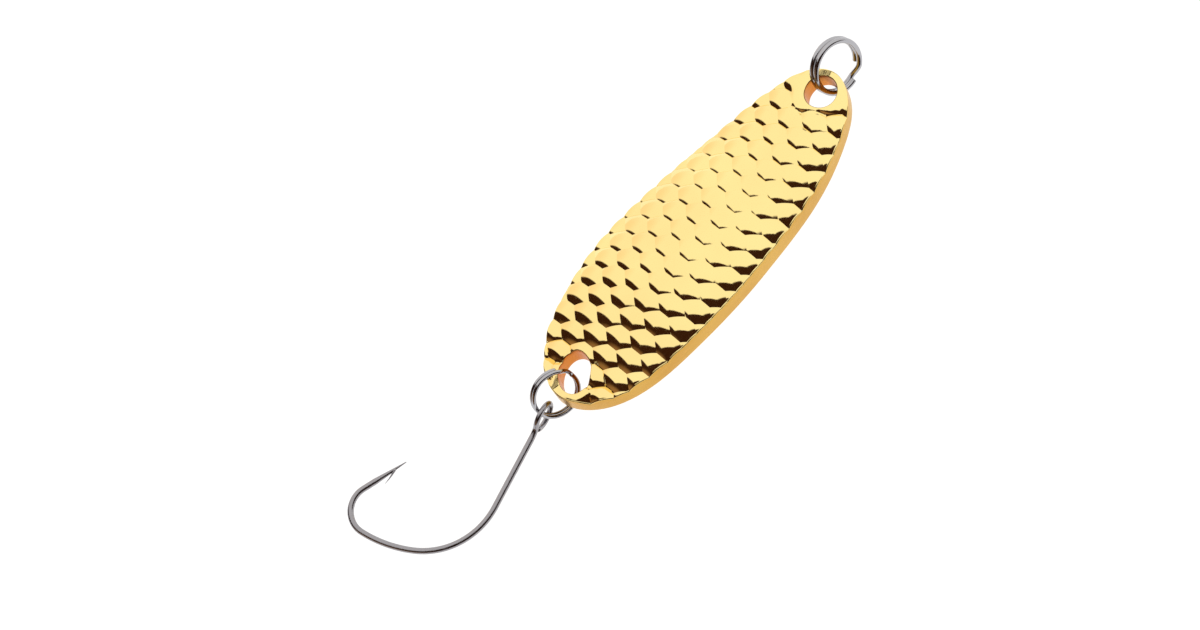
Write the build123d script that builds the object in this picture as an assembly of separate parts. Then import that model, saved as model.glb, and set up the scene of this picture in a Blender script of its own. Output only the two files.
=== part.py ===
from build123d import *
import math
import os

# A trout spoon lure lying on a flat surface, patterned face up.
# Millimetres. +X runs along the blade from the hook end (tail) to the line end
# (head), +Z is up. The model is first laid out with the tail hole at X = 0 and
# the face at about Z = 0, then moved so that the origin is at the bottom centre
# of the whole lure's box.

# ---- driving dimensions ----
HOLE_SPACING = 26.5        # tail hole to head hole
TAIL_END = -1.86           # X of the blade's tail end
HEAD_END = 28.2            # X of the blade's head end
RIM_RADIUS = 0.20          # rounding of the rims of both holes
FRONT_EDGE = 0.10          # rounding of the blade's front edge
BACK_EDGE = 0.20           # rounding of the blade's back edge

# half width of the blade at stations between its two ends
HALF_WIDTH = [
    (-1.06, 2.05), (0.9, 3.68), (4.6, 4.86), (9.3, 5.33),
    (15.0, 5.08), (20.6, 4.36), (25.0, 3.20), (27.3, 1.86),
]
# the S curve of the rim round the patterned face, and the plate's thickness
RIM_HEIGHT = [
    (-2.4, -0.10), (3.2, 0.14), (8.0, 0.35), (14.0, -0.11),
    (20.6, -0.61), (26.3, -0.03), (29.0, 0.36),
]
THICKNESS = [(-2.4, 1.62), (3.2, 1.84), (8.0, 1.92), (14.0, 1.95), (20.6, 1.88), (29.0, 1.62)]
CROWN = 1.15               # how far the middle of the face stands above its rim
CROWN_MIDDLE = 13.2        # X of the crown's highest part
CROWN_REACH = 13.6         # the crown dies out this far from its middle

HEAD_HOLE_RADIUS = 1.2
TAIL_HOLE_CENTRE = (0.12, 0.08)
TAIL_HOLE_LONG = 1.56      # half length of the oval tail hole
TAIL_HOLE_SHORT = 1.20     # half width of the oval tail hole
TAIL_HOLE_TURN = 38        # degrees from the blade's long axis

HEAD_RING_RADIUS = 1.93    # to the middle of the wire
HEAD_RING_WIRE = 0.42
HEAD_RING_CENTRE = (28.716, 0.593, -0.310)
HEAD_RING_AXIS = (0.049, -0.929, 0.368)
HEAD_RING_JOG = 118        # degrees round the ring to the step between its turns

TAIL_RING_RADIUS = 1.73
TAIL_RING_WIRE = 0.31
TAIL_RING_CENTRE = (-1.749, 0.501, -0.749)
TAIL_RING_AXIS = (-0.130, -0.901, 0.414)
TAIL_RING_JOG = 215

COIL_GAP = 0.02            # between the two turns of a split ring
JOG_ANGLE = 34             # degrees that the step between the turns takes

HOOK_WIRE = 0.46
EYE_WIRE = 0.40
EYE_LONG = 1.0             # half length of the eye, to the middle of the wire
EYE_WIDE = 0.94            # half width of the eye
EYE_CENTRE = (-3.462, 0.392, -1.430)
SHANK_DIRECTION = (-0.974, -0.211, -0.081)
HOOK_PLANE_NORMAL = (0.045, 0.171, -0.984)
SHANK_LENGTH = 7.2         # eye centre to the start of the bend
BEND_ARCS = [(5.5, 71.5), (9.6, 24.0), (1.82, 115.8)]   # radius, degrees
POINT_LENGTH = 3.55
SPEAR_LENGTH = 2.6         # tapered end of the point
TIP_RADIUS = 0.03
BARB_FROM_TIP = 1.15       # where the barb leaves the point
BARB_LENGTH = 1.05
BARB_LIFT = 24             # degrees off the point


def long_edges(plate):
    """The edges that run right round the outline, highest and lowest."""
    around = ShapeList(edge for edge in plate.edges() if edge.length > 40)
    around = around.sort_by(lambda edge: edge.center(CenterOf.BOUNDING_BOX).Z)
    return around[-1], around[0]


def along(table, x):
    """Height at x of the smooth curve through a table's points."""
    last = len(table) - 1
    i = max(j for j in range(last) if j == 0 or table[j][0] <= x)
    slopes = []
    for j in (i, i + 1):
        before, after = table[max(j - 1, 0)], table[min(j + 1, last)]
        slopes.append((after[1] - before[1]) / (after[0] - before[0]))
    (x0, z0), (x1, z1) = table[i], table[i + 1]
    gap = x1 - x0
    t = (x - x0) / gap
    rise = (2 * t - 3) * t * t
    bend = slopes[0] * t * (1 - t) ** 2 - slopes[1] * t * t * (1 - t)
    return z0 * (1 + rise) - z1 * rise + gap * bend


def crown_height(x, y):
    """How far the face stands above its rim."""
    reach = min(1, ((x - CROWN_MIDDLE) / CROWN_REACH) ** 4)
    width = max(2, along([(TAIL_END, 0)] + HALF_WIDTH + [(HEAD_END, 0)], x))
    return CROWN * (1 - reach) ** 2 * (1 - (y / width) ** 2)


def below(sink):
    """Everything under the face, lowered by sink(x)."""
    points = []
    for column in range(28):
        x = -3 + 1.2 * column
        row = [Vector(x, y, along(RIM_HEIGHT, x) + crown_height(x, y) - sink(x))
               for y in range(-6, 7)]
        points.append(row)
    surface = Face.make_surface_from_array_of_points(points, tol=0.005, max_deg=5)
    return extrude(surface, 8, dir=(0, 0, -1))


def blade():
    """Thick plate with an S curve and a crown, round head hole and oval tail hole."""
    plate = below(lambda x: 0) - below(lambda x: along(THICKNESS, x))
    upper = [(TAIL_END, 0)] + HALF_WIDTH + [(HEAD_END, 0)]
    lower = [(x, -y) for x, y in reversed(HALF_WIDTH)]
    outline = Spline(*(upper + lower), periodic=True)
    plate &= Pos(0, 0, -4.5) * extrude(make_face(outline), 10)

    plate = fillet(long_edges(plate)[0], FRONT_EDGE)
    plate = fillet(long_edges(plate)[1], BACK_EDGE)

    head_hole = Pos(HOLE_SPACING, 0, 0) * Cylinder(HEAD_HOLE_RADIUS, 12)
    oval = Rot(0, 0, TAIL_HOLE_TURN) * Ellipse(TAIL_HOLE_LONG, TAIL_HOLE_SHORT)
    tail_hole = Pos(*TAIL_HOLE_CENTRE, -6) * extrude(oval, 12)
    plate -= [head_hole, tail_hole]
    rims = [edge for edge in plate.edges() if 6 < edge.length < 12]
    return fillet(rims, RIM_RADIUS)


def split_ring(radius, wire):
    """Two full turns of round wire side by side, joined by one short step."""
    rise = (wire + COIL_GAP) / 2
    half_jog = math.radians(JOG_ANGLE / 2)
    turn = 360 - JOG_ANGLE
    first = Pos(0, 0, -rise) * CenterArc((0, 0), radius, JOG_ANGLE / 2, turn)
    second = Pos(0, 0, rise) * CenterArc((0, 0), radius, JOG_ANGLE / 2, turn)
    jog = Spline(
        first @ 1,
        (radius / math.cos(half_jog / 3), 0, 0),
        second @ 0,
        tangents=[first % 1, second % 0],
    )
    coil = Wire([first, jog, second])
    section = Plane(coil @ 0, z_dir=coil % 0) * Circle(wire / 2)
    return sweep(section, path=coil)


def hook():
    """Single barbed hook. Its eye stands square to the plane of the bend."""
    start = (EYE_LONG, 0)
    shank = Line(start, (SHANK_LENGTH, 0))
    pieces = [shank]
    for radius, angle in BEND_ARCS:
        last = pieces[-1]
        pieces.append(JernArc(last @ 1, last % 1, radius, angle))
    bend_end = pieces[-1] @ 1
    heading = pieces[-1] % 1
    straight = POINT_LENGTH - SPEAR_LENGTH
    pieces.append(Line(bend_end, bend_end + heading * straight))
    spine = Wire(pieces)
    section = Plane(spine @ 0, z_dir=spine % 0) * Circle(HOOK_WIRE / 2)
    body = sweep(section, path=spine)

    spear_plane = Plane(spine @ 1, z_dir=heading)
    spear = spear_plane * Pos(0, 0, SPEAR_LENGTH / 2) * Cone(
        HOOK_WIRE / 2, TIP_RADIUS, SPEAR_LENGTH
    )
    inward = Vector(-heading.Y, heading.X, 0)
    tip = bend_end + heading * POINT_LENGTH
    lift = math.radians(BARB_LIFT)
    barb_root = tip - heading * BARB_FROM_TIP
    barb_way = inward * math.sin(lift) - heading * math.cos(lift)
    barb = Plane(barb_root, z_dir=barb_way) * Pos(0, 0, BARB_LENGTH / 2) * Cone(
        0.12, 0.02, BARB_LENGTH
    )

    ring = Plane.XZ * EllipticalCenterArc((0, 0), EYE_LONG, EYE_WIDE, 0, arc_size=360)
    ring_section = Plane(ring @ 0, z_dir=ring % 0) * Circle(EYE_WIRE / 2)
    eye = sweep(ring_section, path=ring)
    return body + spear + barb + eye


def placed_ring(radius, wire, centre, axis, jog):
    """A split ring at its resting place, turned so that its step is at jog degrees."""
    place = Plane(origin=centre, x_dir=Vector(axis).cross(Vector(0, 0, 1)), z_dir=axis)
    return place * Rot(0, 0, jog) * split_ring(radius, wire)


parts = {
    "blade": blade(),
    "head_split_ring": placed_ring(
        HEAD_RING_RADIUS, HEAD_RING_WIRE, HEAD_RING_CENTRE, HEAD_RING_AXIS, HEAD_RING_JOG
    ),
    "tail_split_ring": placed_ring(
        TAIL_RING_RADIUS, TAIL_RING_WIRE, TAIL_RING_CENTRE, TAIL_RING_AXIS, TAIL_RING_JOG
    ),
    "hook": Plane(origin=EYE_CENTRE, x_dir=SHANK_DIRECTION, z_dir=HOOK_PLANE_NORMAL) * hook(),
}

whole = Compound(children=[Solid(part.solids()[0].wrapped) for part in parts.values()])
box = whole.bounding_box()
to_origin = Pos(-(box.min.X + box.max.X) / 2, -(box.min.Y + box.max.Y) / 2, -box.min.Z)

os.makedirs("parts", exist_ok=True)
for name, part in parts.items():
    solid = to_origin * part.solids()[0]
    solid.label = name
    export_step(solid, f"parts/{name}.step")
    size = solid.bounding_box().size
    print(f"{name}: {len(part.solids())} solid, {solid.volume:.2f} mm3, "
          f"{size.X:.2f} x {size.Y:.2f} x {size.Z:.2f} mm")
print("origin moved by", to_origin.position)
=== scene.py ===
import math

import bpy
import numpy as np
from mathutils import Matrix, Vector
from mathutils.geometry import delaunay_2d_cdt


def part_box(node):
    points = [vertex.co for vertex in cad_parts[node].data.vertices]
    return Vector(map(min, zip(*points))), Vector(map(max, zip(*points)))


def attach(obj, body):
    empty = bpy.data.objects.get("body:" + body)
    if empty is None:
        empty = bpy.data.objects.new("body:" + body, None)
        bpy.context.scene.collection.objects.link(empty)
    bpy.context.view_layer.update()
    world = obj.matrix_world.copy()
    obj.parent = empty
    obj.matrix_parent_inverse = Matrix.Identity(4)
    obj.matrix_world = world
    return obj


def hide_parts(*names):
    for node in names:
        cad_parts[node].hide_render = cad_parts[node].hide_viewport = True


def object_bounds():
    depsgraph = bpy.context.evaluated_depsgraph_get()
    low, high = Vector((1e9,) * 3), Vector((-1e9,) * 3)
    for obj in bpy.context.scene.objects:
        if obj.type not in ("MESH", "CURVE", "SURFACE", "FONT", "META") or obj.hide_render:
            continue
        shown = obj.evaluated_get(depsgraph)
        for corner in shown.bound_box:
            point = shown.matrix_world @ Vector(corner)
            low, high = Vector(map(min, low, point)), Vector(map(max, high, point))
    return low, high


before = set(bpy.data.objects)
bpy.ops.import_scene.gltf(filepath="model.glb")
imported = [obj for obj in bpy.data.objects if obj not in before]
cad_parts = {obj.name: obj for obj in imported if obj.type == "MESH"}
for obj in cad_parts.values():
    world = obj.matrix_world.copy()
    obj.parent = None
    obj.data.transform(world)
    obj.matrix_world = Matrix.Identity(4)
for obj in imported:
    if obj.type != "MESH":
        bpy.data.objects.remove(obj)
cad_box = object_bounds()

# Dimensions are millimetres in the blade's own layout: tail hole near x = 0, rim of the
# face near z = 0, x towards the line end. Directions are unit vectors in the same layout.
MM = 0.001

# ---- blade ----
HOLE_SPACING = 26.5
TAIL_END = -1.86
HEAD_END = 28.2
HALF_WIDTH = [
    (-1.06, 2.05), (0.9, 3.68), (4.6, 4.86), (9.3, 5.33),
    (15.0, 5.08), (20.6, 4.36), (25.0, 3.20), (27.3, 1.86),
]
RIM_HEIGHT = [
    (-2.4, -0.10), (3.2, 0.14), (8.0, 0.35), (14.0, -0.11),
    (20.6, -0.61), (26.3, -0.03), (29.0, 0.36),
]
THICKNESS = [(-2.4, 1.62), (3.2, 1.84), (8.0, 1.92), (14.0, 1.95), (20.6, 1.88), (29.0, 1.62)]
CROWN, CROWN_MIDDLE, CROWN_REACH = 1.15, 13.2, 13.6
FRONT_EDGE, BACK_EDGE = 0.10, 0.20
HOLE_ROLL, HOLE_BACK_EDGE = 0.09, 0.20
HEAD_HOLE_RADIUS = 1.2
TAIL_HOLE_CENTRE, TAIL_HOLE_LONG, TAIL_HOLE_SHORT = (0.12, 0.08), 1.56, 1.20
TAIL_HOLE_TURN = math.radians(38)
OUTLINE_STEP = 0.16
HOLE_STEPS = 72

# ---- facets cut into the blade's face ----
CELL_LONG = 1.591          # spacing along the blade
CELL_STEP = 1.63           # spacing across the blade
CELL_SHIFT = 0.798         # how far each row is shifted
CELL_CORNER = 0.40         # half length of a facet's side edge
CELL_ORIGIN = (17.367, 2.199)
CELL_CURVE = 0.72          # curvature of a facet along the blade, 1/mm
HEAD_CURVE, HEAD_CURVE_FROM, HEAD_CURVE_REACH = 0.08, 15, 8   # added towards the head
TAIL_CURVE, TAIL_CURVE_FROM, TAIL_CURVE_REACH = 0.60, 4, 5    # added towards the tail
LAND_RADIUS = 2.2          # plain land round the head hole
LAND_FADE = 0.6
LAND_NORMAL = (0.85, 0.53)  # a straight crease cuts that land off, square to this direction
CREASE_ACROSS = (0.847, 0.528)   # the same direction, for the triangles that follow the crease
LAND_BORDER = -1.62
LAND_STEP = 0.26           # width of that crease
BAND_WIDTH, BAND_FADE, BAND_END, BAND_END_FADE = 0.75, 0.3, 0.2, 0.7   # plain band at the tail hole
EDGE_ROLL, EDGE_REACH = 0.18, 0.26   # the face rolls off towards the outline, on the -Y side only

# ---- wires ----
HEAD_RING = dict(radius=1.93, wire=0.42, centre=(28.716, 0.593, -0.310),
                 axis=(0.049, -0.929, 0.368), jog=118)
TAIL_RING = dict(radius=1.73, wire=0.31, centre=(-1.749, 0.501, -0.749),
                 axis=(-0.130, -0.901, 0.414), jog=215)
COIL_GAP, JOG_ANGLE, COIL_END_GAP = 0.02, 34, 1.5
HOOK_WIRE, EYE_WIRE, EYE_LONG, EYE_WIDE = 0.46, 0.40, 1.0, 0.94
EYE_CENTRE = (-3.462, 0.392, -1.430)
EYE_FROM, EYE_TO = 16, 335
NECK_LENGTH = 0.95         # where the eye's wire eases into the shank
SHANK_DIRECTION = (-0.974, -0.211, -0.081)
HOOK_PLANE_NORMAL = (0.045, 0.171, -0.984)
SHANK_LENGTH = 7.2
BEND_ARCS = [(5.5, 71.5), (9.6, 24.0), (1.82, 115.8)]   # radius, degrees
POINT_LENGTH, SPEAR_LENGTH, TIP_RADIUS = 3.55, 2.6, 0.03
BARB_FROM_TIP, BARB_LENGTH, BARB_LIFT = 1.15, 1.05, 24
BARB_ROOT = 0.25           # how much of the barb is sunk in the wire
WIRE_SIDES = 24

# ---- camera and floor ----
CAMERA_RIGHT = (0.65260033, -0.7028923, -0.28294033)
CAMERA_UP = (0.74635497, 0.53194283, 0.39998885)
CAMERA_BACK = (-0.130641, -0.47220678, 0.87175323)
CAMERA_PLACE = (-34.7303, -139.9765, 261.2314)
CAMERA_LENS, CAMERA_SENSOR = 129.0552, 36.0
FLOOR_HALF = 1.5           # metres
FLOOR_DROP = 0.02          # metres, for the hook to hang clear at the ends of its travel

FACE, WALL, BORE, BACK = range(4)   # the blade's material numbers


# ---- the blade's surfaces ----
def unit(v):
    v = np.asarray(v, float)
    return v / np.linalg.norm(v)


def ease(t):
    """0 to 1 with a soft start and stop."""
    t = np.clip(t, 0, 1)
    return t * t * (3 - 2 * t)


def curve_through(table):
    """Smooth piecewise cubic through a table's points, as the CAD uses."""
    x = np.array([p[0] for p in table], float)
    z = np.array([p[1] for p in table], float)
    before = np.maximum(np.arange(len(x)) - 1, 0)
    after = np.minimum(np.arange(len(x)) + 1, len(x) - 1)
    slope = (z[after] - z[before]) / (x[after] - x[before])

    def at(q):
        q = np.asarray(q, float)
        i = np.clip(np.searchsorted(x, q, side="right") - 1, 0, len(x) - 2)
        gap = x[i + 1] - x[i]
        t = (q - x[i]) / gap
        rise = (2 * t - 3) * t * t
        bend = slope[i] * t * (1 - t) ** 2 - slope[i + 1] * t * t * (1 - t)
        return z[i] * (1 + rise) - z[i + 1] * rise + gap * bend
    return at


rim_height = curve_through(RIM_HEIGHT)
plate_thickness = curve_through(THICKNESS)
half_width = curve_through([(TAIL_END, 0)] + HALF_WIDTH + [(HEAD_END, 0)])


def smooth_face(x, y):
    """The crowned, S-curved face before its facets are cut."""
    reach = np.minimum(1, ((x - CROWN_MIDDLE) / CROWN_REACH) ** 4)
    width = np.maximum(2, half_width(x))
    return rim_height(x) + CROWN * (1 - reach) ** 2 * (1 - (y / width) ** 2)


def back_height(x, y):
    return smooth_face(x, y) - plate_thickness(x)


def closed_spline(points, per_gap):
    """Periodic cubic through counter-clockwise points, by chord length, with outward normals."""
    p = np.array(points, float)
    n = len(p)
    h = np.linalg.norm(np.roll(p, -1, 0) - p, axis=1)
    a = np.zeros((n, n))
    b = np.zeros((n, 2))
    for i in range(n):
        j = (i - 1) % n
        k = (i + 1) % n
        a[i, j] += h[j]
        a[i, i] += 2 * (h[j] + h[i])
        a[i, k] += h[i]
        b[i] = 6 * ((p[k] - p[i]) / h[i] - (p[i] - p[j]) / h[j])
    m = np.linalg.solve(a, b)
    out, normals = [], []
    for i in range(n):
        k = (i + 1) % n
        c1 = (p[k] - p[i]) / h[i] - h[i] * (2 * m[i] + m[k]) / 6
        c3 = (m[k] - m[i]) / (6 * h[i])
        for s in range(per_gap[i]):
            t = s / per_gap[i] * h[i]
            out.append(p[i] + c1 * t + m[i] / 2 * t * t + c3 * t ** 3)
            d = c1 + m[i] * t + 3 * c3 * t * t
            normals.append(unit((d[1], -d[0])))
    return np.array(out), np.array(normals)


def blade_outline():
    upper = [(TAIL_END, 0)] + HALF_WIDTH + [(HEAD_END, 0)]
    lower = [(x, -y) for x, y in reversed(HALF_WIDTH)]
    corners = (upper + lower)[::-1]
    following = corners[1:] + corners[:1]
    gaps = [max(4, int(math.dist(p, q) / OUTLINE_STEP)) for p, q in zip(corners, following)]
    return closed_spline(corners, gaps)


def hole_outline(centre, long, short, turn):
    """Points of a hole's outline, with normals that point away from the metal."""
    a = np.linspace(0, 2 * np.pi, HOLE_STEPS, endpoint=False)
    c, s = math.cos(turn), math.sin(turn)
    x, y = long * np.cos(a), short * np.sin(a)
    nx, ny = np.cos(a) / long, np.sin(a) / short
    size = np.hypot(nx, ny)
    nx, ny = nx / size, ny / size
    points = np.c_[centre[0] + c * x - s * y, centre[1] + s * x + c * y]
    return points, -np.c_[c * nx - s * ny, s * nx + c * ny]


outline, outline_normal = blade_outline()
head_hole, head_normal = hole_outline((HOLE_SPACING, 0), HEAD_HOLE_RADIUS, HEAD_HOLE_RADIUS, 0)
tail_hole, tail_normal = hole_outline(TAIL_HOLE_CENTRE, TAIL_HOLE_LONG, TAIL_HOLE_SHORT, TAIL_HOLE_TURN)


def find_shift():
    """Layout to row frame, in millimetres: the blade's CAD box against its outline and crown."""
    low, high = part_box("blade")
    x = np.linspace(TAIL_END, HEAD_END, 2000)
    crown_top = smooth_face(x, 0 * x).max()
    middle = (outline[:, 1].min() + outline[:, 1].max()) / 2
    return np.array([high.x / MM - HEAD_END, (low.y + high.y) / 2 / MM - middle, high.z / MM - crown_top])


SHIFT = find_shift()


def row(points):
    """Layout millimetres to row-frame metres."""
    return (np.asarray(points, float) + SHIFT) * MM


# ---- the facets ----
HALF_CELL = CELL_LONG / 2
CELL_POINT = CELL_STEP - CELL_CORNER
CELL_RING = np.array([
    (0, CELL_POINT), (HALF_CELL, CELL_CORNER), (HALF_CELL, -CELL_CORNER),
    (0, -CELL_POINT), (-HALF_CELL, -CELL_CORNER), (-HALF_CELL, CELL_CORNER),
])
# across the blade the facets are flatter, so that neighbours meet on straight edges
ACROSS = HALF_CELL ** 2 / (CELL_POINT ** 2 - CELL_CORNER ** 2)


def cell_centres():
    out = []
    for i in range(-30, 31):
        for j in range(-6, 7):
            x = CELL_ORIGIN[0] + HALF_CELL - CELL_LONG * i + CELL_SHIFT * j
            y = CELL_ORIGIN[1] - CELL_STEP * j
            if TAIL_END - 2 < x < HEAD_END + 2 and abs(y) < 7.5:
                out.append((x, y))
    return np.array(out)


CENTRES = cell_centres()


def edge_distance(x, y):
    """Distance in from the blade's outline, worked out a block of points at a time."""
    block = 4000
    out = np.empty(len(x))
    for start in range(0, len(x), block):
        part = np.c_[x, y][start:start + block]
        near = np.argmin(((part[:, None] - outline[None]) ** 2).sum(2), axis=1)
        out[start:start + block] = ((outline[near] - part) * outline_normal[near]).sum(1)
    return np.maximum(out, 0)


def head_land(x, y):
    """1 on the plain land round the head hole, 0 on the facets."""
    dx = x - HOLE_SPACING
    along = LAND_NORMAL[0] * dx + LAND_NORMAL[1] * y
    beyond = np.clip((along - LAND_BORDER) / LAND_STEP, 0, 1)
    return beyond * ease((LAND_RADIUS + LAND_FADE / 2 - np.hypot(dx, y)) / LAND_FADE)


def tail_band(x, y):
    """1 on the plain band between the tail hole and the blade's end, 0 on the facets."""
    c, s = math.cos(TAIL_HOLE_TURN), math.sin(TAIL_HOLE_TURN)
    dx, dy = x - TAIL_HOLE_CENTRE[0], y - TAIL_HOLE_CENTRE[1]
    long = (dx * c + dy * s) / TAIL_HOLE_LONG
    short = (dy * c - dx * s) / TAIL_HOLE_SHORT
    mean_radius = 1.35
    out = (np.hypot(long, short) - 1) * mean_radius
    return ease((BAND_END - x) / BAND_END_FADE) * ease((BAND_WIDTH - out) / BAND_FADE)


def relief(x, y):
    """How far the cut face lies below the smooth one."""
    nearest = np.full(x.shape, np.inf)
    for cx, cy in CENTRES:
        nearest = np.minimum(nearest, (x - cx) ** 2 + ACROSS * (y - cy) ** 2)
    curve = CELL_CURVE + HEAD_CURVE * ease((x - HEAD_CURVE_FROM) / HEAD_CURVE_REACH)
    curve = curve + TAIL_CURVE * ease((TAIL_CURVE_FROM - x) / TAIL_CURVE_REACH)
    plain = np.maximum(tail_band(x, y), head_land(x, y))
    roll = EDGE_ROLL * np.exp(-edge_distance(x, y) / EDGE_REACH) * ease(0.5 - y / 2)
    return curve / 2 * nearest * (1 - plain) + roll


# ---- triangles ----
def inside(points, loop):
    """Which points lie inside a closed loop."""
    x, y = points[:, 0][:, None], points[:, 1][:, None]
    ax, ay = loop[:, 0], loop[:, 1]
    bx, by = np.roll(ax, -1), np.roll(ay, -1)
    crosses = (ay > y) != (by > y)
    with np.errstate(divide="ignore", invalid="ignore"):
        at = (bx - ax) * (y - ay) / (by - ay) + ax
    return (np.sum(crosses & (x < at), axis=1) % 2) == 1


def in_metal(points, loops):
    """Which points lie inside loops[0] and outside the others."""
    keep = inside(points, loops[0])
    for hole in loops[1:]:
        keep &= ~inside(points, hole)
    return keep


def clear_of(points, loops, gap):
    """Points further than gap from every point of the loops."""
    stations = np.concatenate(loops)
    return np.array([p for p in points if np.min(np.hypot(*(stations - p).T)) > gap])


def triangulate(loops, points, segments):
    """Counter-clockwise constrained triangles between the loops, and the segments' edges."""
    verts = [tuple(p) for loop in loops for p in loop]
    edges = []
    start = 0
    for loop in loops:
        n = len(loop)
        edges += [(start + i, start + (i + 1) % n) for i in range(n)]
        start += n
    loop_edges = len(edges)
    for a, b in segments:
        edges.append((len(verts), len(verts) + 1))
        verts += [tuple(a), tuple(b)]
    verts += [tuple(p) for p in points]
    result = delaunay_2d_cdt([Vector(v) for v in verts], edges, [], 0, 1e-6, True)
    xy = np.array([tuple(v) for v in result[0]])
    tris = np.array(result[2])
    tris = tris[in_metal(xy[tris].mean(1), loops)]
    creases = [e for e, ids in zip(result[1], result[4]) if any(i >= loop_edges for i in ids)]
    used = np.unique(tris)
    index = -np.ones(len(xy), int)
    index[used] = np.arange(len(used))
    creases = [(index[a], index[b]) for a, b in creases if index[a] >= 0 and index[b] >= 0]
    xy, tris = xy[used], index[tris]
    corner = xy[tris]
    turn = np.cross(corner[:, 1] - corner[:, 0], corner[:, 2] - corner[:, 0])
    tris[turn < 0] = tris[turn < 0][:, ::-1]
    return xy, tris, creases


def boundary_loops(tris):
    """Directed boundary loops of a triangle list, with the metal on their left."""
    directed = {edge: None for a, b, c in tris for edge in ((a, b), (b, c), (c, a))}
    following = {a: b for a, b in directed if (b, a) not in directed}
    loops = []
    while following:
        start = next(iter(following))
        loop = [start]
        at = following.pop(start)
        while at != start:
            loop.append(at)
            at = following.pop(at)
        loops.append(loop)
    return loops


# ---- the blade's mesh ----
def facet_creases():
    """The facets' straight edges, each once, where they touch the blade."""
    out = {}
    for centre in CENTRES:
        ring = centre + CELL_RING
        for p, q in zip(ring, np.roll(ring, -1, 0)):
            middle = (p + q) / 2
            key = tuple(np.round(middle * 100).astype(int))
            at_edge = np.min(np.linalg.norm(outline - middle, axis=1)) < 1.3
            if key not in out and (at_edge or inside(middle[None], outline)[0]):
                out[key] = (p, q)
    return list(out.values())


def on_head_land(point):
    offset = point - (HOLE_SPACING, 0)
    return np.hypot(*offset) < LAND_RADIUS and offset @ LAND_NORMAL > LAND_BORDER


def crease_segments():
    """Short straight pieces of every crease that the face's triangles must follow."""
    pieces = 6
    out = []
    for p, q in facet_creases():
        if on_head_land((p + q) / 2):
            continue
        steps = [p + (q - p) * k / pieces for k in range(pieces + 1)]
        out += list(zip(steps[:-1], steps[1:]))
    across = np.array(CREASE_ACROSS)
    along = np.array((across[1], -across[0]))
    first, last, spacing, edge_gap = 0.62, 2.3, 0.07, 0.25
    for shift in (0, LAND_STEP):
        foot = np.array((HOLE_SPACING, 0)) + (LAND_BORDER + shift) * across
        line = [foot + t * along for t in np.arange(first, last, spacing)]
        line = [q for q in line if np.min(np.linalg.norm(outline - q, axis=1)) > edge_gap]
        out += list(zip(line[:-1], line[1:]))
    return out


def face_points():
    """Points inside each facet, closer together near its edges, and rings on the head land."""
    ring = CELL_RING * (-1, 1)
    side = np.linspace(0, 1, 6, endpoint=False)[:, None]
    border = np.concatenate([ring[i] + (ring[(i + 1) % 6] - ring[i]) * side for i in range(6)])
    out = []
    for centre in CENTRES:
        out.append(centre)
        for scale, skip in ((0.93, 1), (0.83, 1), (0.7, 1), (0.55, 2), (0.38, 2), (0.2, 3)):
            out += [centre + scale * p for p in border[::skip]]
    for r in np.arange(1.48, LAND_RADIUS + 0.5, 0.07):
        a = np.linspace(0, 2 * np.pi, int(2 * np.pi * r / 0.1), endpoint=False)
        out += list(np.c_[HOLE_SPACING + r * np.cos(a), r * np.sin(a)])
    return np.array(out)


def blended_normals(points, stations, normals):
    """Outline normals at points, from the two nearest stations."""
    out = []
    for q in points:
        d = np.linalg.norm(stations - q, axis=1)
        two = np.argsort(d)[:2]
        weight = 1 / (d[two] + 1e-6)
        out.append(unit((normals[two] * weight[:, None]).sum(0) / weight.sum()))
    return np.array(out)


def edge_rows(p, n, top, front, back):
    """Rows of points down an edge: 4 round the front roll, 3 on the wall, 6 round the back."""
    base = p + front * n
    low = back_height(base[:, 0], base[:, 1])
    high = top - front
    rows = []
    for a in np.arange(1, 5) / 4 * math.pi / 2:
        rows.append(np.c_[base - front * n * (1 - math.sin(a)), top - front * (1 - math.cos(a))])
    for f in (0.25, 0.5, 0.75):
        rows.append(np.c_[base, high + (low + back - high) * f])
    for a in np.arange(0, 6) / 5 * math.pi / 2:
        rows.append(np.c_[base - back * n * (1 - math.cos(a)), low + back * (1 - math.sin(a))])
    return rows


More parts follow.
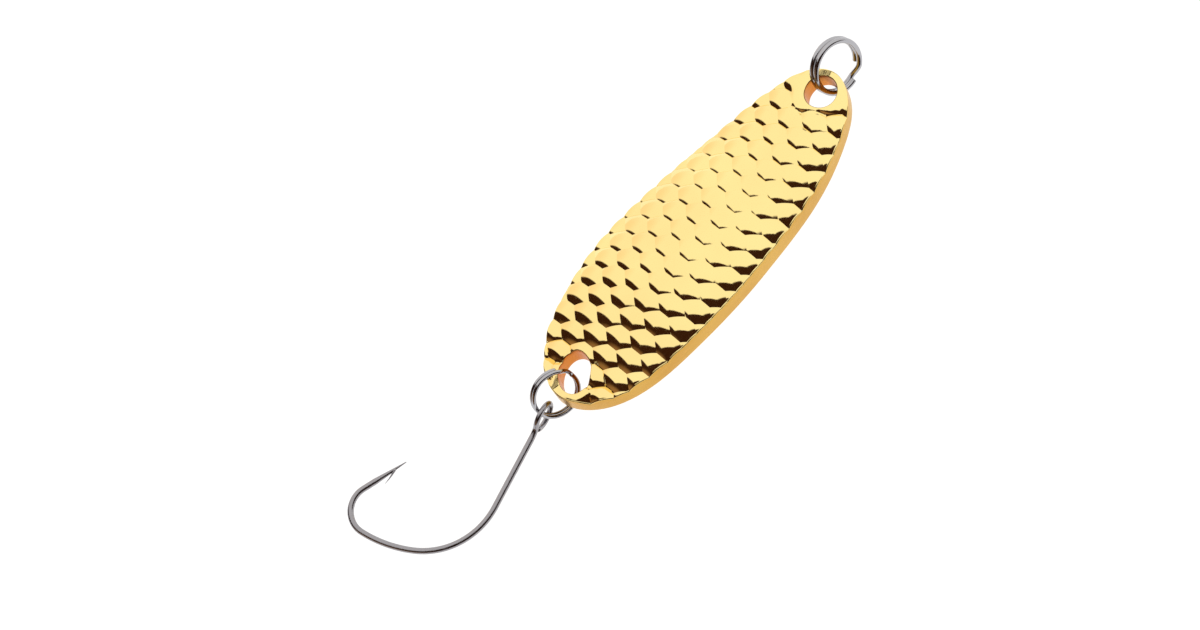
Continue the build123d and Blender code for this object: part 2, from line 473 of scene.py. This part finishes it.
def blade_mesh():
    """The whole blade: faceted face, rolled edges, walls of the outline and holes, plain back."""
    rims = [
        (outline - FRONT_EDGE * outline_normal, outline_normal, FRONT_EDGE, BACK_EDGE, WALL),
        (head_hole - HOLE_ROLL * head_normal, head_normal, HOLE_ROLL, HOLE_BACK_EDGE, BORE),
        (tail_hole - HOLE_ROLL * tail_normal, tail_normal, HOLE_ROLL, HOLE_BACK_EDGE, BORE),
    ]
    stations = [rim[0] for rim in rims]
    points = face_points()
    points = clear_of(points[in_metal(points, stations)], stations[:1], 0.05)
    face_loops = [stations[0], stations[1][::-1], stations[2][::-1]]
    xy, tris, creases = triangulate(face_loops, points, crease_segments())
    z = smooth_face(xy[:, 0], xy[:, 1]) - relief(xy[:, 0], xy[:, 1])
    verts = list(np.c_[xy, z])
    faces = [tuple(t) for t in tris]
    kinds = [FACE] * len(faces)
    sharp = {tuple(sorted(e)) for e in creases}
    back_loops = []
    for loop in boundary_loops(tris):
        p = xy[loop]
        which = int(np.argmin([np.min(np.linalg.norm(s - p[0], axis=1)) for s in stations]))
        edge, normals, front, back, kind = rims[which]
        m = len(loop)
        sharp |= {tuple(sorted((loop[i], loop[(i + 1) % m]))) for i in range(m)}
        last = list(loop)
        normal = blended_normals(p, edge, normals)
        for level, lower in enumerate(edge_rows(p, normal, z[loop], front, back)):
            now = list(range(len(verts), len(verts) + m))
            verts += list(lower)
            for i in range(m):
                j = (i + 1) % m
                faces.append((last[j], last[i], now[i], now[j]))
                kinds.append(FACE if level < 3 else kind)
            last = now
        back_loops.append((which, last))
    back_loops.sort(key=lambda entry: entry[0])
    add_back(verts, faces, kinds, [loop for _, loop in back_loops])
    return np.array(verts), faces, kinds, sharp


def add_back(verts, faces, kinds, loops):
    """Close the shell with a plain sheet on the vertices of the given loops."""
    spacing = 0.5
    edges = [np.array([verts[i][:2] for i in loop]) for loop in loops]
    grid = np.array([(x, y) for x in np.arange(-1.6, 28, spacing) for y in np.arange(-5, 5.1, spacing)])
    grid = clear_of(grid[in_metal(grid, edges)], edges, 0.2)
    xy, tris, _ = triangulate(edges, grid, [])
    known = [i for loop in loops for i in loop]
    known_xy = np.concatenate(edges)
    match = []
    for q in xy:
        d = np.linalg.norm(known_xy - q, axis=1)
        i = int(np.argmin(d))
        if d[i] < 1e-5:
            match.append(known[i])
        else:
            match.append(len(verts))
            verts.append(np.array((q[0], q[1], float(back_height(q[0], q[1])))))
    for a, b, c in tris:
        faces.append((match[c], match[b], match[a]))
        kinds.append(BACK)


def make_object(name, verts, faces, materials, kinds=None, sharp=()):
    mesh = bpy.data.meshes.new(name)
    mesh.from_pydata([tuple(v) for v in row(verts)], [], faces)
    mesh.validate()
    mesh.polygons.foreach_set("use_smooth", [True] * len(mesh.polygons))
    if sharp:
        flag = [tuple(sorted(e.vertices)) in sharp for e in mesh.edges]
        mesh.attributes.new("sharp_edge", "BOOLEAN", "EDGE").data.foreach_set("value", flag)
    for material in materials:
        mesh.materials.append(material)
    if kinds is not None:
        mesh.polygons.foreach_set("material_index", kinds)
    mesh.update()
    obj = bpy.data.objects.new(name, mesh)
    bpy.context.scene.collection.objects.link(obj)
    return obj


# ---- wires ----
def tube(path, radii):
    """Round wire along a path, with flat ends whose edges are broken."""
    path = np.asarray(path, float)
    tangent = np.gradient(path, axis=0)
    tangent /= np.linalg.norm(tangent, axis=1)[:, None]
    side = unit(np.cross(tangent[0], (0.31, 0.2, 0.93)))
    stations = []
    for p, t, r in zip(path, tangent, radii):
        side = unit(side - t * (side @ t))
        stations.append((p, side, np.cross(t, side), r))

    def end(station, along):
        p, s, o, r = station
        return [(p, s, o, r * 0.75), (p + along * r * 0.25, s, o, r * 0.97)]

    stations = end(stations[0], tangent[0]) + stations[1:-1] + end(stations[-1], -tangent[-1])[::-1]
    a = np.linspace(0, 2 * np.pi, WIRE_SIDES, endpoint=False)
    verts = [path[0]]
    for p, s, o, r in stations:
        verts += list(p + r * (np.cos(a)[:, None] * s + np.sin(a)[:, None] * o))
    verts.append(path[-1])
    faces = []
    n = len(stations)
    for i in range(WIRE_SIDES):
        j = (i + 1) % WIRE_SIDES
        faces.append((0, 1 + j, 1 + i))
        for k in range(n - 1):
            b0, b1 = 1 + k * WIRE_SIDES, 1 + (k + 1) * WIRE_SIDES
            faces.append((b0 + i, b0 + j, b1 + j, b1 + i))
        b0 = 1 + (n - 1) * WIRE_SIDES
        faces.append((b0 + i, b0 + j, len(verts) - 1))
    return np.array(verts), faces


def split_ring_path(radius, wire, centre, axis, jog):
    """Two turns side by side with one step, from one cut end to the other."""
    axis = unit(axis)
    x = unit(np.cross(axis, (0, 0, 1)))
    y = np.cross(axis, x)
    rise = (wire + COIL_GAP) / 2
    half = JOG_ANGLE / 2
    first = np.linspace(half + COIL_END_GAP, 360, 150)
    second = np.linspace(360, 720 - half - COIL_END_GAP, 150)[1:]
    angle = np.concatenate([first, second])
    height = -rise + 2 * rise * ease((angle - (360 - half)) / JOG_ANGLE)
    a = np.radians(angle + jog)[:, None]
    return np.array(centre) + radius * (np.cos(a) * x + np.sin(a) * y) + height[:, None] * axis


# the hook's own layout: x down the shank, y across to the point, z square to the hook's plane
SHANK = unit(SHANK_DIRECTION)
HOOK_NORMAL = unit(np.array(HOOK_PLANE_NORMAL) - (np.array(HOOK_PLANE_NORMAL) @ SHANK) * SHANK)
HOOK_SIDE = np.cross(HOOK_NORMAL, SHANK)


def from_hook(points):
    """Hook layout to blade layout."""
    q = np.atleast_2d(points)
    return np.array(EYE_CENTRE) + q[:, :1] * SHANK + q[:, 1:2] * HOOK_SIDE + q[:, 2:3] * HOOK_NORMAL


def eye_and_neck():
    """The eye's loop from where it closes on the shank, and its easing into the shank."""
    loop = [np.array((EYE_LONG * math.cos(a), 0, EYE_WIDE * math.sin(a)))
            for a in np.radians(np.linspace(EYE_FROM, EYE_TO, 90))]
    radii = [EYE_WIRE / 2] * len(loop)
    start, lead = loop[-1], unit(loop[-1] - loop[-2])
    end = np.array((EYE_LONG + NECK_LENGTH, 0, 0))
    p1, p2 = start + lead * 0.35, end - np.array((0.45, 0, 0))
    for t in np.linspace(0, 1, 16)[1:]:
        u = 1 - t
        loop.append(u ** 3 * start + 3 * u * u * t * p1 + 3 * u * t * t * p2 + t ** 3 * end)
        radii.append(EYE_WIRE / 2 + (HOOK_WIRE - EYE_WIRE) / 2 * t)
    return loop, radii


def hook_path():
    """The whole wire in the hook's layout, its radii, its tip and its last direction."""
    points, radii = eye_and_neck()
    plain = HOOK_WIRE / 2
    for d in np.linspace(EYE_LONG + NECK_LENGTH, SHANK_LENGTH, 40)[1:]:
        points.append((d, 0, 0))
        radii.append(plain)
    at = np.array((SHANK_LENGTH, 0.0))
    heading = 0.0
    for radius, angle in BEND_ARCS:
        centre = at + radius * np.array((-math.sin(heading), math.cos(heading)))
        for step in np.radians(np.linspace(0, angle, max(10, int(angle))))[1:]:
            q = heading + step
            at = centre + radius * np.array((math.sin(q), -math.cos(q)))
            points.append((*at, 0))
            radii.append(plain)
        heading += math.radians(angle)
    way = np.array((math.cos(heading), math.sin(heading)))
    for d in np.linspace(0, POINT_LENGTH, 46)[1:]:
        points.append((*(at + way * d), 0))
        spear = max(0.0, (d - (POINT_LENGTH - SPEAR_LENGTH)) / SPEAR_LENGTH)
        radii.append(plain + (TIP_RADIUS - plain) * spear)
    return np.array(points, float), radii, np.array((*(at + way * POINT_LENGTH), 0)), np.array((*way, 0))


def barb_mesh(tip, way):
    """A flat sliver raised from the point, as a chisel cuts it, in the hook's layout."""
    rows, sides = 9, 12
    inward = np.array((-way[1], way[0], 0))
    lift = math.radians(BARB_LIFT)
    root = tip - way * (BARB_FROM_TIP - BARB_ROOT)
    out = inward * math.sin(lift) - way * math.cos(lift)
    up = np.array((0, 0, 1.0))
    thick = unit(np.cross(up, out))
    verts, faces = [], []
    for f in np.linspace(0, 1, rows):
        centre = root + out * (BARB_LENGTH + BARB_ROOT) * f + inward * 0.05 * math.sin(math.pi * f)
        wide = 0.13 * (1 - f) ** 0.8 + 0.012
        deep = 0.085 * (1 - f) + 0.008
        for a in np.linspace(0, 2 * np.pi, sides, endpoint=False):
            verts.append(centre + up * wide * math.cos(a) + thick * deep * math.sin(a))
    for k in range(rows - 1):
        for i in range(sides):
            j = (i + 1) % sides
            faces.append((k * sides + i, k * sides + j, (k + 1) * sides + j, (k + 1) * sides + i))
    faces.append(tuple(range(sides))[::-1])
    faces.append(tuple(range((rows - 1) * sides, rows * sides)))
    return np.array(verts), faces


def hook_mesh():
    path, radii, tip, way = hook_path()
    wire, wire_faces = tube(from_hook(path), radii)
    barb, barb_faces = barb_mesh(tip, way)
    faces = wire_faces + [tuple(i + len(wire) for i in face) for face in barb_faces]
    return np.concatenate([wire, from_hook(barb)]), faces


# ---- materials ----
def metal(name, colour, tint, roughness, wear, scratch):
    """Plated metal: two tones that drift, and fine scratches in the roughness and bump."""
    m = bpy.data.materials.new(name)
    m.use_nodes = True
    nodes, links = m.node_tree.nodes, m.node_tree.links
    bsdf = nodes["Principled BSDF"]
    bsdf.inputs["Metallic"].default_value = 1.0
    coord = nodes.new("ShaderNodeTexCoord")
    drift = nodes.new("ShaderNodeTexNoise")
    drift.inputs["Scale"].default_value = 160.0
    drift.inputs["Detail"].default_value = 3.0
    links.new(coord.outputs["Object"], drift.inputs["Vector"])
    tones = nodes.new("ShaderNodeValToRGB")
    low, high = tones.color_ramp.elements
    low.position, high.position = 0.35, 0.68
    low.color, high.color = (*tint, 1), (*colour, 1)
    links.new(drift.outputs["Fac"], tones.inputs["Fac"])
    links.new(tones.outputs["Color"], bsdf.inputs["Base Color"])
    stretch = nodes.new("ShaderNodeMapping")
    stretch.inputs["Scale"].default_value = (0.25, 1.6, 1.0)
    stretch.inputs["Rotation"].default_value = (0, 0, 0.6)
    links.new(coord.outputs["Object"], stretch.inputs["Vector"])
    lines = nodes.new("ShaderNodeTexNoise")
    lines.inputs["Scale"].default_value = 2700.0
    lines.inputs["Detail"].default_value = 4.0
    links.new(stretch.outputs["Vector"], lines.inputs["Vector"])
    rough = nodes.new("ShaderNodeMapRange")
    rough.inputs["From Min"].default_value = 0.35
    rough.inputs["From Max"].default_value = 0.75
    rough.inputs["To Min"].default_value = roughness
    rough.inputs["To Max"].default_value = roughness + wear
    links.new(lines.outputs["Fac"], rough.inputs["Value"])
    links.new(rough.outputs["Result"], bsdf.inputs["Roughness"])
    bump = nodes.new("ShaderNodeBump")
    bump.inputs["Strength"].default_value = scratch
    bump.inputs["Distance"].default_value = 0.00002
    links.new(lines.outputs["Fac"], bump.inputs["Height"])
    links.new(bump.outputs["Normal"], bsdf.inputs["Normal"])
    return m


def darker(colour):
    return tuple(c * 0.93 for c in colour)


STEEL = (0.47, 0.465, 0.485)
DARK_NICKEL = (0.36, 0.345, 0.36)
gold = [
    metal("gold_face", (1.0, 0.80, 0.33), (0.97, 0.74, 0.30), 0.06, 0.06, 0.10),
    # The outline's side walls and rolled back edge take the face's gold darkened and reddened: painted
    # shade, not a different plating.
    metal("gold_wall_painted_shade", (0.70, 0.41, 0.075), (0.62, 0.33, 0.05), 0.26, 0.12, 0.15),
    # The holes' bores take the face's gold darker and redder still: painted shade inside the holes, not a
    # different plating.
    metal("gold_bore_painted_shade", (0.70, 0.25, 0.02), (0.60, 0.17, 0.01), 0.30, 0.12, 0.15),
    metal("gold_back", (0.95, 0.68, 0.26), (0.90, 0.62, 0.24), 0.14, 0.16, 0.20),
]
bright_wire = metal("bright_wire", STEEL, darker(STEEL), 0.10, 0.10, 0.25)
dark_wire = metal("dark_wire", DARK_NICKEL, darker(DARK_NICKEL), 0.18, 0.14, 0.25)


# ---- pieces ----
verts, faces, kinds, sharp = blade_mesh()
blade = make_object("blade_faceted", verts, faces, gold, kinds, sharp)
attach(blade, "blade")
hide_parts("blade")

for name, ring in (("head_split_ring", HEAD_RING), ("tail_split_ring", TAIL_RING)):
    path = split_ring_path(**ring)
    coil = make_object(name + "_coil", *tube(path, [ring["wire"] / 2] * len(path)), [bright_wire])
    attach(coil, name)
    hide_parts(name)

hook = make_object("hook_wire", *hook_mesh(), [dark_wire])
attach(hook, "hook")
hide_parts("hook")


# ---- floor ----
paper = bpy.data.materials.new("pale_floor")
paper.use_nodes = True
paper_inputs = paper.node_tree.nodes["Principled BSDF"].inputs
paper_inputs["Base Color"].default_value = (0.93, 0.93, 0.93, 1)
paper_inputs["Roughness"].default_value = 0.9
paper_inputs["Specular IOR Level"].default_value = 0.1
paper_inputs["Emission Color"].default_value = (1, 1, 1, 1)
paper_inputs["Emission Strength"].default_value = 0.52

floor_mesh = bpy.data.meshes.new("floor")
corners = [(x * FLOOR_HALF, y * FLOOR_HALF, 0) for x, y in ((-1, -1), (1, -1), (1, 1), (-1, 1))]
floor_mesh.from_pydata(corners, [], [(0, 1, 2, 3)])
floor_mesh.materials.append(paper)
floor = bpy.data.objects.new("floor", floor_mesh)
bpy.context.scene.collection.objects.link(floor)
floor.location.z = cad_box[0][2] - FLOOR_DROP

# ---- camera ----
camera_data = bpy.data.cameras.new("camera")
camera_data.sensor_width = CAMERA_SENSOR
camera_data.lens = CAMERA_LENS
camera_data.clip_start = 0.01
camera = bpy.data.objects.new("camera", camera_data)
bpy.context.scene.collection.objects.link(camera)
turn = Matrix((CAMERA_RIGHT, CAMERA_UP, CAMERA_BACK)).transposed().to_4x4()
camera.matrix_world = Matrix.Translation(Vector(row(CAMERA_PLACE))) @ turn
bpy.context.scene.camera = camera

# ---- light: reflections see a dome with a bright and a dark part, all other rays plain grey ----
# The dome's borders were tuned until the facets' dark dashes fell as in the photograph. The
# exported model carries none of this, so its dashes look different in other light.
world = bpy.data.worlds.new("studio")
bpy.context.scene.world = world
world.use_nodes = True
wn, wl = world.node_tree.nodes, world.node_tree.links
wn.clear()


def step(value, low, high):
    """0 up to low and 1 from high on, soft between; high may be the smaller of the two."""
    node = wn.new("ShaderNodeMapRange")
    node.interpolation_type = "SMOOTHSTEP"
    node.inputs["From Min"].default_value = low
    node.inputs["From Max"].default_value = high
    wl.new(value, node.inputs["Value"])
    return node.outputs["Result"]


def times(a, b):
    node = wn.new("ShaderNodeMath")
    node.operation = "MULTIPLY"
    wl.new(a, node.inputs[0])
    wl.new(b, node.inputs[1])
    return node.outputs["Value"]


def plus_scaled(a, b, scale):
    """a * scale + b."""
    node = wn.new("ShaderNodeMath")
    node.operation = "MULTIPLY_ADD"
    node.inputs[1].default_value = scale
    wl.new(a, node.inputs[0])
    wl.new(b, node.inputs[2])
    return node.outputs["Value"]


def mix(factor, a, b):
    """Colour a where factor is 0, b where it is 1."""
    node = wn.new("ShaderNodeMix")
    node.data_type = "RGBA"
    wl.new(factor, node.inputs["Factor"])
    for value, socket in ((a, node.inputs["A"]), (b, node.inputs["B"])):
        if isinstance(value, tuple):
            socket.default_value = (*value, 1)
        else:
            wl.new(value, socket)
    return node.outputs["Result"]


WHITE = (1.06, 1.05, 1.03)
WARM = (1.05, 0.80, 0.62)
DARK = (0.035, 0.012, 0.006)
BROWN = (0.30, 0.17, 0.09)
PLAIN = (0.62, 0.62, 0.62)
direction = wn.new("ShaderNodeTexCoord")
split = wn.new("ShaderNodeSeparateXYZ")
wl.new(direction.outputs["Generated"], split.inputs["Vector"])
east, north = split.outputs["X"], split.outputs["Y"]   # how far a reflection points to +X and +Y
# bright except far towards -X, towards -X and -Y together, and far towards -Y
bright = times(step(plus_scaled(north, east, -0.3), -0.61, -0.55),
               step(plus_scaled(east, north, 0.9), -0.46, -0.40))
bright = times(bright, step(north, -0.66, -0.58))
lit = mix(step(north, 0.70, 1.25), WHITE, WARM)
shade = mix(step(east, -0.72, -0.95), DARK, BROWN)
paths = wn.new("ShaderNodeLightPath")
background = wn.new("ShaderNodeBackground")
wl.new(mix(paths.outputs["Is Glossy Ray"], PLAIN, mix(bright, shade, lit)), background.inputs["Color"])
out = wn.new("ShaderNodeOutputWorld")
wl.new(background.outputs["Background"], out.inputs["Surface"])

bpy.context.scene.view_settings.view_transform = "Standard"
bpy.context.view_layer.update()
